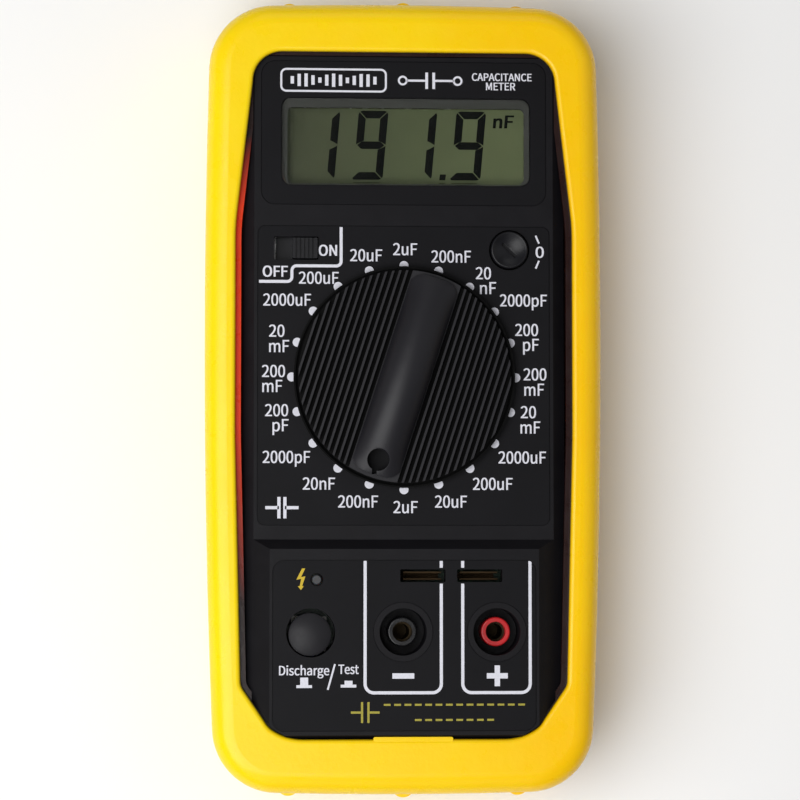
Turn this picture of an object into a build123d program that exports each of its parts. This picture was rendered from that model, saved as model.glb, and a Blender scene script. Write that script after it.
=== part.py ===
from build123d import *
import math
import os

os.makedirs("parts", exist_ok=True)

# Hand-held digital capacitance meter in a rubber holster, lying on its back.
# Millimetres. +X to the right, +Y towards the display end, +Z out of the front.
# The origin is the middle of the holster's rest face.

# ---- Driving dimensions -----------------------------------------------------
HOLSTER_HALF_LENGTH = 100.3
HOLSTER_TOP = 37.0
HOLSTER_BACK = 3.4
HOLSTER_CORNER = 16.5
HOLSTER_GAP = 0.15
END_RIB_PROUD = 0.9
END_RIB_SPACING = 29.0

CASE_W = 91.0
CASE_L = 189.0
CASE_CORNER = 14.0
CASE_BACK = 3.5
PARTING = 17.0
SHOULDER = 27.5
WALL = 2.2
RIM_Z = 32.2
FACE_Z = 34.4
BLOCK_Z = 37.4
RIM_HALF = 40.9
BLOCK_HALF = 33.9
STEP_Y = -36.2
STEP_RUN = 2.4
DISPLAY_END_Y = 86.4
JACK_END_Y = -85.2
END_SLOPE = 1.7

LABEL_T = 0.4
LABEL_RECESS = 0.5
LABEL_GAP = 0.2
DISPLAY_RECESS = (72.6, 36.8)
DISPLAY_LABEL_AT = (0.0, 66.95)
RANGE_RECESS = (74.2, 76.0)
RANGE_LABEL_AT = (0.0, 5.3)
TERMINAL_RECESS = (66.4, 42.9)
TERMINAL_LABEL_AT = (0.0, -62.75)

PCB_Z = 20.0
PCB_T = 1.6
PCB_TOP = PCB_Z + PCB_T

LENS = (63.2, 22.2)
LENS_AT = (0.5, 64.8)
LENS_SEAT = 1.4
LENS_PROUD = 0.5
LENS_BEVEL = 0.45
VIEW = (60.4, 19.2)
VIEW_AT = (0.55, 64.0)
VIEW_CORNER = 1.4
LCD_GLASS = (63.0, 23.0)
LCD_LEDGE = (66.0, 19.0)
LCD_BOTTOM = 28.0

DIAL = (0.0, 4.8)
SKIRT_R = 28.0
DISC_R = 26.8
KNOB_BASE = 34.8
KNOB_TOP = 46.0
HUB_R = 5.9
HANDLE_ANGLE = -18.0
HANDLE_W = 12.4
HANDLE_REACH = 26.2
HANDLE_BASE = 37.0
HANDLE_FOOT = 39.3
HANDLE_END_Z = 40.6
HANDLE_STEPS = 3
GROOVE_PITCH = 1.64
GROOVE_W = 1.08
GROOVE_FLOOR = KNOB_BASE + 2.4
GROOVES_PER_SIDE = 13
DIMPLE_R = 2.8
DIMPLE_FLOOR = 38.0
RANGES = 20
SHAFT_R = 3.0
ROTOR_Z = 26.6
ROTOR_R = 22.0
DETENT_R = 23.6

POWER = (-27.3, 37.5)
POWER_SLOT = (11.2, 5.9)
POWER_CAP = (6.3, 5.2)
POWER_CAP_Z = 31.4

ZERO = (26.8, 37.3)
ZERO_R = 4.7
ZERO_HOLE_R = 5.15

LED = (-22.1, -46.3)
LED_R = 1.5
LED_HOLE_R = 1.6
LED_SHOULDER = 36.3
BUTTON = (-23.8, -60.0)
BUTTON_HOLE = (-23.6, -59.6)
BUTTON_R = 5.35
BUTTON_HOLE_R = 6.15
BUTTON_TOP = 38.4
BUTTON_DOME_R = 11.0

JACKS = [(-0.4, -59.4), (23.2, -59.4)]
JACK_RING_R = 7.4
JACK_WELL_R = 5.95
JACK_TUBE_R = 3.7
JACK_FLANGE_R = 5.4
JACK_TOP = 33.8
SOCKET_R = 2.0
SOCKET_WALL = 0.5
SOCKET_TOP = 30.0
SOCKET_DEPTH = 13.0
SOCKET_FLOOR = SOCKET_TOP - SOCKET_DEPTH

SLOTS = [(4.6, -45.3), (18.9, -45.3)]
SLOT = (11.4, 3.2)
BLADE_TOP = 33.6

BATTERY = (46.5, 26.5, 17.5)
BATTERY_CENTRE = (-2.75, -78.6, 14.35)
COVER_SCREW = (0.0, -62.2)

STAND_Y = 50.0
STAND_PIVOT_Z = 1.7
STAND_W = 54.0
STAND_L = 86.0
STAND_BOTTOM = 0.5
STAND_TOP = 2.9
STUB_R = 1.2

SCREW_R = 1.2
PILOT_R = 1.25

CASE_SCREWS = [(x, y) for x in (-36.0, 36.0) for y in (-85.5, 85.5)]
PCB_SCREWS = [(x, y) for x in (-37.0, 37.0) for y in (-36.0, 44.0)]


# ---- Helpers ----------------------------------------------------------------
def plate(width, length, bottom, top, spots=((0, 0),), radius=0.0, mode=Mode.ADD):
    """Flat block, or a hole of that shape, at each of the spots."""
    with BuildSketch(Plane.XY.offset(bottom)) as outline:
        with Locations(*spots):
            if radius:
                RectangleRounded(width, length, radius)
            else:
                Rectangle(width, length)
    extrude(outline.sketch, amount=top - bottom, mode=mode)


def disc(radius, bottom, top, spots=((0, 0),), mode=Mode.ADD):
    """Round block, or a hole, at each of the spots."""
    with BuildSketch(Plane.XY.offset(bottom)) as outline:
        with Locations(*spots):
            Circle(radius)
    extrude(outline.sketch, amount=top - bottom, mode=mode)


def bar_x(radius, start, end, spots, mode=Mode.ADD):
    """Round bar along X from start to end, at each (y, z) spot."""
    with BuildSketch(Plane.YZ.offset(start)) as outline:
        with Locations(*spots):
            Circle(radius)
    extrude(outline.sketch, amount=end - start, mode=mode)


def bar_y(radius, start, end, spots, mode=Mode.ADD):
    """Round bar along Y from start to end, at each (x, z) spot."""
    with BuildSketch(Plane.XZ.offset(-end)) as outline:
        with Locations(*spots):
            Circle(radius)
    extrude(outline.sketch, amount=end - start, mode=mode)


def polygon(points, radii):
    """Closed outline with a rounded corner at each point."""
    with BuildSketch() as outline:
        with BuildLine():
            FilletPolyline(*points, radius=radii, close=True)
        make_face()
    return outline.sketch


def save(builder, label):
    builder.part.label = label
    export_step(builder.part, f"parts/{label}.step")


def mirrored(right):
    """Outline points of a symmetric shape from its right half, top to bottom."""
    return right + [(-x, y) for x, y in reversed(right)]


def case_form(inset):
    """Solid form of the upper case half; with an inset it is the room inside."""
    half = CASE_W / 2 - inset
    end = CASE_L / 2 - inset
    rim = RIM_HALF - inset
    block = BLOCK_HALF - inset
    foot = SHOULDER - 1.5 - 2 * max(inset, 0)
    with BuildPart() as form:
        plate(2 * half, 2 * end, PARTING, SHOULDER - inset, radius=CASE_CORNER - inset)
        if inset <= 0:
            top_edges = form.faces().sort_by(Axis.Z)[-1].edges()
            fillet(top_edges, 3.5)
    with BuildPart() as upper:
        with BuildSketch(Plane.XZ):
            with BuildLine():
                Polyline(
                    (-rim, foot),
                    (-rim, RIM_Z - inset),
                    (-block, BLOCK_Z - inset),
                    (block, BLOCK_Z - inset),
                    (rim, RIM_Z - inset),
                    (rim, foot),
                    close=True,
                )
            make_face()
        extrude(amount=CASE_L, both=True)
        with BuildSketch(Plane.YZ) as side:
            with BuildLine():
                Polyline(
                    (DISPLAY_END_Y + END_SLOPE - inset, foot),
                    (DISPLAY_END_Y + END_SLOPE - inset, RIM_Z - inset),
                    (DISPLAY_END_Y - inset, FACE_Z - inset),
                    (STEP_Y - inset, FACE_Z - inset),
                    (STEP_Y - STEP_RUN - inset, BLOCK_Z - inset),
                    (JACK_END_Y + inset, BLOCK_Z - inset),
                    (JACK_END_Y - END_SLOPE + inset, RIM_Z - inset),
                    (JACK_END_Y - END_SLOPE + inset, foot),
                    close=True,
                )
            make_face()
        extrude(side.sketch, amount=CASE_W, both=True, mode=Mode.INTERSECT)
        outline = polygon(
            mirrored(
                [
                    (rim, DISPLAY_END_Y + END_SLOPE - inset),
                    (rim, -72.8 + inset / 2),
                    (33.5 - inset * 0.8, -83.1 + inset * 0.6),
                    (27.5 - inset * 0.3, JACK_END_Y - END_SLOPE + inset),
                ]
            ),
            [7.0, 4.0, 5.0, 8.0, 8.0, 5.0, 4.0, 7.0],
        )
        extrude(Plane.XY.offset(foot) * outline, amount=BLOCK_Z, mode=Mode.INTERSECT)
    return form.part + upper.part


def rear_form(inset):
    """Solid form of the lower case half."""
    with BuildPart() as form:
        plate(CASE_W - 2 * inset, CASE_L - 2 * inset, CASE_BACK + inset, PARTING,
              radius=CASE_CORNER - inset)
        fillet(form.faces().sort_by(Axis.Z)[0].edges(), 4.0)
    return form.part


# ---- Holster ----------------------------------------------------------------
def holster_outline():
    with BuildSketch() as outline:
        with BuildLine():
            right = ThreePointArc((49.0, 99.3), (50.4, 18.0), (47.5, -99.3))
            mirror(right, about=Plane.YZ)
            ThreePointArc((49.0, 99.3), (0, HOLSTER_HALF_LENGTH), (-49.0, 99.3))
            ThreePointArc((47.5, -99.3), (0, -HOLSTER_HALF_LENGTH), (-47.5, -99.3))
        make_face()
        fillet(outline.vertices(), HOLSTER_CORNER)
    return outline.sketch


LIP_RIGHT = [
    (37.8, 87.4),
    (38.4, 79.5),
    (42.6, 43.0),
    (42.6, -10.0),
    (41.1, -72.8),
    (33.9, -83.4),
    (29.0, -86.2),
]
LIP_RADII = [7.5, 30.0, 60.0, 200.0, 4.0, 6.0, 14.0]
LEDGE_Z = 34.4
LEDGE_W = 1.4

with BuildPart() as holster:
    extrude(holster_outline(), amount=HOLSTER_TOP)
    fillet(holster.faces().sort_by(Axis.Z)[-1].edges(), 5.5)
    fillet(holster.faces().sort_by(Axis.Z)[0].edges(), 4.0)
    rib_spots = [
        (x, side * (HOLSTER_HALF_LENGTH + END_RIB_PROUD - 3.0 - abs(x) * 0.018))
        for x in (-END_RIB_SPACING, 0, END_RIB_SPACING)
        for side in (-1, 1)
    ]
    disc(3.0, 7.0, 30.0, rib_spots)
    lip = polygon(mirrored(LIP_RIGHT), LIP_RADII + LIP_RADII[::-1])
    extrude(Plane.XY.offset(LEDGE_Z) * lip, amount=HOLSTER_TOP, mode=Mode.SUBTRACT)
    snug = offset(lip, amount=-LEDGE_W, mode=Mode.PRIVATE)
    extrude(Plane.XY.offset(SHOULDER - 2) * snug, amount=HOLSTER_TOP, mode=Mode.SUBTRACT)
    inner_edges = holster.edges().filter_by(
        lambda e: e.center().Z > HOLSTER_TOP - 0.01 and abs(e.center().X) < 42.7
        and abs(e.center().Y) < 87.6
    )
    fillet(inner_edges, 1.1)
    add(case_form(-HOLSTER_GAP), mode=Mode.SUBTRACT)
    add(rear_form(-HOLSTER_GAP), mode=Mode.SUBTRACT)
    plate(20.0, 1.2, 36.3, 36.9, [(2.2, -86.25)], radius=0.4)
    plate(STAND_W + 1.2, STAND_L + 8.0, -1, HOLSTER_BACK + 1,
          [(0, STAND_Y - STAND_L / 2)], radius=4.0, mode=Mode.SUBTRACT)
    with BuildSketch(Plane.YZ.offset(-STAND_W / 2 - 3.4)) as pivot_hole:
        with Locations((STAND_Y, STAND_PIVOT_Z)):
            Circle(STUB_R + 0.06)
    extrude(pivot_hole.sketch, amount=STAND_W + 6.8, mode=Mode.SUBTRACT)
save(holster, "holster")

# ---- Front case half --------------------------------------------------------
label_face = FACE_Z - LABEL_RECESS
label_block = BLOCK_Z - LABEL_RECESS

with BuildPart() as front_case:
    add(case_form(0.0))
    add(case_form(WALL), mode=Mode.SUBTRACT)
    # posts for the circuit board and columns for the case screws
    disc(2.6, PCB_TOP, RIM_Z - WALL, PCB_SCREWS)
    disc(4.2, PARTING, SHOULDER - WALL + 0.5, CASE_SCREWS)
    disc(PILOT_R, PCB_TOP - 1, PCB_TOP + 7.0, PCB_SCREWS, mode=Mode.SUBTRACT)
    disc(PILOT_R, PARTING - 1, PARTING + 7.5, CASE_SCREWS, mode=Mode.SUBTRACT)
    # recesses for the three printed labels
    plate(*DISPLAY_RECESS, label_face, FACE_Z + 1, [DISPLAY_LABEL_AT], 3.6, Mode.SUBTRACT)
    plate(*RANGE_RECESS, label_face, FACE_Z + 1, [RANGE_LABEL_AT], 2.0, Mode.SUBTRACT)
    plate(*TERMINAL_RECESS, label_block, BLOCK_Z + 1, [TERMINAL_LABEL_AT], 3.0, Mode.SUBTRACT)
    # display window
    plate(*LENS, FACE_Z - LENS_SEAT, FACE_Z, [LENS_AT], 2.4, Mode.SUBTRACT)
    plate(*VIEW, RIM_Z - WALL - 1, FACE_Z, [VIEW_AT], VIEW_CORNER, Mode.SUBTRACT)
    # controls on the dial panel
    disc(HUB_R + 0.06, RIM_Z - WALL - 1, FACE_Z + 1, [DIAL], Mode.SUBTRACT)
    plate(*POWER_SLOT, RIM_Z - WALL - 1, FACE_Z + 1, [POWER], 0.4, Mode.SUBTRACT)
    disc(ZERO_HOLE_R, RIM_Z - WALL - 1, FACE_Z + 1, [ZERO], Mode.SUBTRACT)
    # raised rings and wells of the two jacks
    disc(JACK_RING_R, 24.6, BLOCK_Z + 0.15, JACKS)
    disc(JACK_WELL_R, 26.2, BLOCK_Z + 1, JACKS, Mode.SUBTRACT)
    disc(JACK_TUBE_R + 0.05, 24.0, BLOCK_Z, JACKS, Mode.SUBTRACT)
    # chutes of the two capacitor slots
    plate(SLOT[0] + 2.4, SLOT[1] + 2.4, 32.6, label_block, SLOTS, 0.6)
    plate(*SLOT, 32.0, BLOCK_Z + 1, SLOTS, 0.3, Mode.SUBTRACT)
    # push button collar and lamp hole
    disc(BUTTON_HOLE_R + 1.4, 31.0, label_block, [BUTTON_HOLE])
    disc(BUTTON_HOLE_R, 30.5, BLOCK_Z + 1, [BUTTON_HOLE], Mode.SUBTRACT)
    disc(LED_HOLE_R, 34.0, BLOCK_Z + 1, [LED], Mode.SUBTRACT)
save(front_case, "front_case")

# ---- Rear case half ---------------------------------------------------------
bay_w = 55.0
bay_l = BATTERY[1] + 1.0
bay = (-1.0, BATTERY_CENTRE[1])
with BuildPart() as rear_case:
    add(rear_form(0.0))
    plate(CASE_W - 2 * WALL, CASE_L - 2 * WALL, CASE_BACK + WALL, PARTING + 1,
          radius=CASE_CORNER - WALL, mode=Mode.SUBTRACT)
    disc(4.2, CASE_BACK + 1, PARTING - 0.1, CASE_SCREWS)
    disc(3.1, CASE_BACK - 1, 10.0, CASE_SCREWS, Mode.SUBTRACT)
    disc(1.6, CASE_BACK, PARTING + 1, CASE_SCREWS, Mode.SUBTRACT)
    # battery bay: walls inside, opening with a seat for the cover outside
    plate(bay_w + 2.4, bay_l + 2.4, CASE_BACK + WALL, PARTING - 0.1, [bay])
    plate(bay_w, bay_l, CASE_BACK - 1, 20.0, [bay], mode=Mode.SUBTRACT)
    plate(bay_w + 4.0, bay_l + 2.0, CASE_BACK - 1, CASE_BACK + 1.5, [bay], 1.0, Mode.SUBTRACT)
    # seat for the cover's tab and the boss for its screw
    plate(9.4, 6.4, CASE_BACK - 1, CASE_BACK + 1.5, [(0, COVER_SCREW[1] - 0.5)], 2.0, Mode.SUBTRACT)
    disc(3.0, CASE_BACK + 1.5, 12.0, [COVER_SCREW])
    disc(PILOT_R, CASE_BACK, 11.0, [COVER_SCREW], Mode.SUBTRACT)
save(rear_case, "rear_case")

with BuildPart() as battery_cover:
    plate(bay_w + 3.6, bay_l + 1.6, CASE_BACK, CASE_BACK + 1.4, [bay], 0.8)
    plate(9.0, 6.0, CASE_BACK, CASE_BACK + 1.4, [(0, COVER_SCREW[1] - 0.5)], 2.0)
    add(rear_form(0.0), mode=Mode.INTERSECT)
    disc(1.5, CASE_BACK - 1, CASE_BACK + 2, [COVER_SCREW], Mode.SUBTRACT)
    disc(2.4, CASE_BACK - 1, CASE_BACK + 0.9, [COVER_SCREW], Mode.SUBTRACT)
save(battery_cover, "battery_cover")

with BuildPart() as battery_cover_screw:
    disc(2.2, CASE_BACK + 0.1, CASE_BACK + 0.9, [COVER_SCREW])
    plate(3.2, 0.6, CASE_BACK, CASE_BACK + 0.5, [COVER_SCREW], mode=Mode.SUBTRACT)
    disc(SCREW_R, CASE_BACK + 0.9, 10.5, [COVER_SCREW])
save(battery_cover_screw, "battery_cover_screw")

with BuildPart() as case_screws:
    disc(2.6, 8.0, 10.0, CASE_SCREWS)
    plate(4.0, 0.8, 7.5, 8.8, CASE_SCREWS, mode=Mode.SUBTRACT)
    plate(0.8, 4.0, 7.5, 8.8, CASE_SCREWS, mode=Mode.SUBTRACT)
    disc(SCREW_R, 10.0, PARTING + 7.0, CASE_SCREWS)
save(case_screws, "case_screws")

with BuildPart() as rear_shield:
    plate(72.0, 112.0, 6.0, 6.3, [(0, 18.0)], 4.0)
save(rear_shield, "rear_shield")

# ---- Printed labels and display ---------------------------------------------
def label_sheet(recess, spot, bottom, radius):
    """Thin printed label that sits inside its recess."""
    width, length = recess
    plate(width - 2 * LABEL_GAP, length - 2 * LABEL_GAP, bottom, bottom + LABEL_T, [spot], radius)


with BuildPart() as display_label:
    label_sheet(DISPLAY_RECESS, DISPLAY_LABEL_AT, label_face, 3.4)
    plate(LENS[0] + 0.2, LENS[1] + 0.2, label_face - 1, FACE_Z, [LENS_AT], 2.5, Mode.SUBTRACT)
save(display_label, "display_label")

with BuildPart() as range_label:
    label_sheet(RANGE_RECESS, RANGE_LABEL_AT, label_face, 1.8)
    disc(9.0, label_face - 1, FACE_Z, [DIAL], Mode.SUBTRACT)
    plate(*POWER_SLOT, label_face - 1, FACE_Z, [POWER], 0.4, Mode.SUBTRACT)
    disc(ZERO_HOLE_R, label_face - 1, FACE_Z, [ZERO], Mode.SUBTRACT)
save(range_label, "range_label")

with BuildPart() as terminal_label:
    label_sheet(TERMINAL_RECESS, TERMINAL_LABEL_AT, label_block, 2.8)
    disc(JACK_RING_R + 0.1, label_block - 1, BLOCK_Z, JACKS, Mode.SUBTRACT)
    plate(*SLOT, label_block - 1, BLOCK_Z, SLOTS, 0.3, Mode.SUBTRACT)
    disc(BUTTON_HOLE_R, label_block - 1, BLOCK_Z, [BUTTON_HOLE], Mode.SUBTRACT)
    disc(LED_HOLE_R, label_block - 1, BLOCK_Z, [LED], Mode.SUBTRACT)
save(terminal_label, "terminal_label")

with BuildPart() as display_lens:
    plate(LENS[0] - 0.2, LENS[1] - 0.2, FACE_Z - LENS_SEAT, FACE_Z + LENS_PROUD, [LENS_AT], 2.3)
    chamfer(display_lens.faces().sort_by(Axis.Z)[-1].edges(), LENS_BEVEL)
save(display_lens, "display_lens")

with BuildPart() as lcd_panel:
    plate(*LCD_GLASS, LCD_BOTTOM, LCD_BOTTOM + 2.8, [VIEW_AT])
    plate(*LCD_LEDGE, LCD_BOTTOM, LCD_BOTTOM + 1.4, [VIEW_AT])
save(lcd_panel, "lcd_panel")

with BuildPart() as lcd_frame:
    plate(70.0, 30.0, PCB_TOP, 31.6, [VIEW_AT], 1.0)
    plate(VIEW[0] + 0.2, VIEW[1] + 0.2, 20.0, 32.0, [VIEW_AT], VIEW_CORNER, Mode.SUBTRACT)
    plate(LCD_GLASS[0] + 0.2, LCD_GLASS[1] + 0.2, PCB_TOP - 1, 30.9, [VIEW_AT], mode=Mode.SUBTRACT)
    plate(LCD_LEDGE[0] + 0.4, LCD_LEDGE[1] + 0.4, PCB_TOP - 1, 29.6, [VIEW_AT], mode=Mode.SUBTRACT)
save(lcd_frame, "lcd_frame")

with BuildPart() as contact_strips:
    plate(54.0, 2.0, PCB_TOP, LCD_BOTTOM, [(VIEW_AT[0], VIEW_AT[1] + side * 10.3) for side in (-1, 1)])
save(contact_strips, "contact_strips")

# ---- Circuit board and what is soldered to it ---------------------------------
with BuildPart() as circuit_board:
    plate(82.0, 147.0, PCB_Z, PCB_TOP, [(0, 10.0)], 2.0)
    plate(14.0, 12.0, PCB_Z - 1, PCB_TOP + 1, [(x, 82.5) for x in (-38, 38)], mode=Mode.SUBTRACT)
    disc(1.4, PCB_Z - 1, PCB_TOP + 1, PCB_SCREWS, Mode.SUBTRACT)
    disc(JACK_TUBE_R + 0.3, PCB_Z - 1, PCB_TOP + 1, JACKS, Mode.SUBTRACT)
    disc(3.3, PCB_Z - 1, PCB_TOP + 1, [DIAL], Mode.SUBTRACT)
save(circuit_board, "circuit_board")

with BuildPart() as board_screws:
    disc(2.3, PCB_Z - 1.5, PCB_Z, PCB_SCREWS)
    plate(3.4, 0.7, PCB_Z - 2, PCB_Z - 0.8, PCB_SCREWS, mode=Mode.SUBTRACT)
    plate(0.7, 3.4, PCB_Z - 2, PCB_Z - 0.8, PCB_SCREWS, mode=Mode.SUBTRACT)
    disc(SCREW_R, PCB_Z, PCB_TOP + 6.5, PCB_SCREWS)
save(board_screws, "board_screws")

converter_at = (0, 64.2)
with BuildPart() as converter_chip:
    plate(14.0, 14.0, PCB_TOP + 0.3, PCB_TOP + 2.5, [converter_at], 0.4)
    pins = [(x * 1.2, y) for x in range(-5, 6) for y in (-8.0, 8.0)]
    plate(0.5, 2.4, PCB_TOP, PCB_TOP + 0.6, [(x, y + converter_at[1]) for x, y in pins])
    plate(2.4, 0.5, PCB_TOP, PCB_TOP + 0.6, [(y, x + converter_at[1]) for x, y in pins])
save(converter_chip, "converter_chip")

amp_spots = [(-24.0, -14.0), (-24.0, 0.0), (24.0, -14.0), (24.0, 12.0)]
with BuildPart() as amplifier_chips:
    plate(6.2, 9.6, PCB_Z - 3.8, PCB_Z - 0.6, amp_spots)
    legs = [(x, y + n * 2.54) for x, y in amp_spots for n in (-1.5, -0.5, 0.5, 1.5)]
    plate(8.2, 0.6, PCB_Z - 2.4, PCB_Z - 1.9, legs)
    feet = [(x + side * 3.9, y) for x, y in legs for side in (-1, 1)]
    plate(0.4, 0.6, PCB_Z - 2.4, PCB_Z, feet)
save(amplifier_chips, "amplifier_chips")

resistor_rows = (-30.0, 36.0)
resistor_xs = [-12.0 + 4.0 * i for i in range(7)]
with BuildPart() as resistors:
    for row in resistor_rows:
        bar_y(1.1, row - 3.0, row + 3.0, [(x, PCB_Z - 1.5) for x in resistor_xs])
        for side in (-1, 1):
            bent = row + side * 3.9
            plate(0.6, 1.8, PCB_Z - 1.8, PCB_Z - 1.2, [(x, bent) for x in resistor_xs])
            plate(0.6, 0.6, PCB_Z - 1.8, PCB_Z, [(x, bent + side * 0.6) for x in resistor_xs])
save(resistors, "resistors")

with BuildPart() as capacitors:
    disc(4.0, 9.0, PCB_Z - 0.2, [(-30.0, 62.0), (-20.0, 62.0), (30.0, 40.0)])
    plate(10.0, 5.0, 11.0, PCB_Z - 0.2, [(22.0, 62.0), (22.0, 70.0)], 0.8)
    plate(7.0, 3.0, 13.0, PCB_Z - 0.2, [(0.0, 50.0), (0.0, -42.0)], 0.8)
    leads = [(-31.5, 62.0), (-28.5, 62.0), (-21.5, 62.0), (-18.5, 62.0), (28.5, 40.0), (31.5, 40.0)]
    for x, y in ((22.0, 62.0), (22.0, 70.0), (0.0, 50.0), (0.0, -42.0)):
        leads += [(x - 2.5, y), (x + 2.5, y)]
    disc(0.3, PCB_Z - 0.3, PCB_Z, leads)
save(capacitors, "capacitors")

trim_spots = [(-33.0, 20.0), (-33.0, 4.0), (-33.0, -12.0)]
with BuildPart() as trimmers:
    plate(6.6, 6.6, PCB_TOP, PCB_TOP + 4.0, trim_spots, 0.4)
    disc(2.4, PCB_TOP + 4.0, PCB_TOP + 4.8, trim_spots)
    plate(3.2, 0.6, PCB_TOP + 4.3, PCB_TOP + 5, trim_spots, mode=Mode.SUBTRACT)
save(trimmers, "trimmers")

fuse_at = (-50.6, 13.4)
with BuildPart() as fuse_clips:
    plate(4.0, 6.4, fuse_at[1] - 2.0, PCB_Z, [(x, fuse_at[0]) for x in (-8.5, 8.5)])
    bar_x(2.5, -11.0, 11.0, [fuse_at], Mode.SUBTRACT)
save(fuse_clips, "fuse_clips")

with BuildPart() as fuse:
    bar_x(2.5, -10.0, -5.0, [fuse_at])
    bar_x(2.5, 5.0, 10.0, [fuse_at])
    bar_x(2.2, -5.0, 5.0, [fuse_at])
save(fuse, "fuse")

# ---- Battery and its leads ------------------------------------------------------
stud_x = BATTERY_CENTRE[0] + BATTERY[0] / 2
stud_spots = [(BATTERY_CENTRE[1] + d, BATTERY_CENTRE[2]) for d in (-6.35, 6.35)]
with BuildPart() as battery:
    low = BATTERY_CENTRE[2] - BATTERY[2] / 2
    plate(BATTERY[0], BATTERY[1], low, low + BATTERY[2], [BATTERY_CENTRE[:2]], 2.0)
    bar_x(2.9, stud_x, stud_x + 2.0, stud_spots)
save(battery, "battery")

with BuildPart() as battery_snap:
    plate(4.6, 25.0, 7.5, 21.5, [(stud_x + 2.7, BATTERY_CENTRE[1])], 0.6)
    bar_x(3.0, stud_x, stud_x + 2.2, stud_spots, Mode.SUBTRACT)
save(battery_snap, "battery_snap")

WIRE_R = 0.6
wire_x = stud_x + 2.7
wire_routes = {
    "red_battery_wire": [
        (wire_x, -76.0, 21.5),
        (wire_x, -76.0, 27.0),
        (13.0, -68.0, 28.0),
        (12.8, -58.0, 29.0),
        (12.8, -53.0, 27.5),
        (12.8, -52.6, PCB_TOP),
    ],
    "black_battery_wire": [
        (wire_x, -81.0, 21.5),
        (wire_x, -81.0, 29.0),
        (11.0, -70.0, 30.0),
        (10.4, -56.0, 30.0),
        (10.4, -50.0, 28.0),
        (10.4, -49.6, PCB_TOP),
    ],
}


def corner_radii(points):
    """The largest comfortable arc at each corner of a wire's route."""
    radii = []
    for before, corner, after in zip(points, points[1:], points[2:]):
        run_in = Vector(*corner) - Vector(*before)
        run_out = Vector(*after) - Vector(*corner)
        shorter = min(run_in.length, run_out.length)
        half_turn = math.radians(run_in.get_angle(run_out) / 2)
        radii.append(0.45 * shorter / math.tan(half_turn))
    return radii


def wire(points):
    with BuildPart() as solid:
        with BuildLine() as route:
            FilletPolyline(*points, radius=corner_radii(points))
        start = Plane(origin=points[0], z_dir=Vector(*points[1]) - Vector(*points[0]))
        with BuildSketch(start) as section:
            Circle(WIRE_R)
        sweep(section.sketch, path=route.wire())
    ideal = math.pi * WIRE_R**2 * route.wire().length
    print("wire volume", round(solid.part.volume, 2), "ideal", round(ideal, 2))
    return solid


for label, points in wire_routes.items():
    print(label, "bend radii", [round(r, 1) for r in corner_radii(points)])
    save(wire(points), label)

# ---- Sockets, slot contacts, lamp -----------------------------------------------
for label, spot in zip(("negative_jack", "positive_jack"), JACKS):
    with BuildPart() as jack_body:
        disc(JACK_TUBE_R, 18.6, JACK_TOP, [spot])
        disc(JACK_FLANGE_R, 22.6, 24.4, [spot])
        fillet(jack_body.edges().sort_by(Axis.Z)[-1], 0.4)
        disc(SOCKET_R + SOCKET_WALL + 0.02, 15.0, JACK_TOP + 1, [spot], Mode.SUBTRACT)
    save(jack_body, label + "_body")
    with BuildPart() as jack_contact:
        disc(SOCKET_R + SOCKET_WALL, SOCKET_FLOOR - 1.5, SOCKET_TOP, [spot])
        disc(SOCKET_R, SOCKET_FLOOR, SOCKET_TOP + 1, [spot], Mode.SUBTRACT)
        # tab for the lead, under the closed end
        plate(2.0, 0.8, SOCKET_FLOOR - 2.0, SOCKET_FLOOR - 1.0, [spot])
    save(jack_contact, label + "_contact")

with BuildPart() as slot_contacts:
    blades = [(x, y + side * 0.85) for x, y in SLOTS for side in (-1, 1)]
    plate(9.6, 0.4, PCB_TOP, BLADE_TOP, blades)
    plate(9.6, 2.1, PCB_TOP, PCB_TOP + 1.2, SLOTS)
save(slot_contacts, "slot_contacts")

with BuildPart() as charge_lamp:
    disc(LED_R, 30.0, LED_SHOULDER, [LED])
    with BuildSketch(Plane.XY.offset(LED_SHOULDER)) as lamp_top:
        with Locations(LED):
            Circle(LED_R)
    extrude(lamp_top.sketch, amount=0.9, taper=28)
    disc(1.9, 29.2, 30.0, [LED])
    leads = [(LED[0] + d, LED[1]) for d in (-0.9, 0.9)]
    plate(0.5, 0.5, PCB_TOP, 29.2, leads)
save(charge_lamp, "charge_lamp")

# ---- Range selector: knob, rotor, wipers and detent -------------------------------
def on_handle(along, across):
    """A point given along and across the handle, in the row's own X and Y."""
    turn = math.radians(HANDLE_ANGLE)
    x = DIAL[0] - along * math.sin(turn) + across * math.cos(turn)
    y = DIAL[1] + along * math.cos(turn) + across * math.sin(turn)
    return x, y


handle_turn = Location((DIAL[0], DIAL[1], 0), HANDLE_ANGLE)
turn = math.radians(HANDLE_ANGLE)
along = Vector(-math.sin(turn), math.cos(turn), 0)
across = Vector(math.cos(turn), math.sin(turn), 0)
dial_centre = Vector(DIAL[0], DIAL[1], 0)

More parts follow.
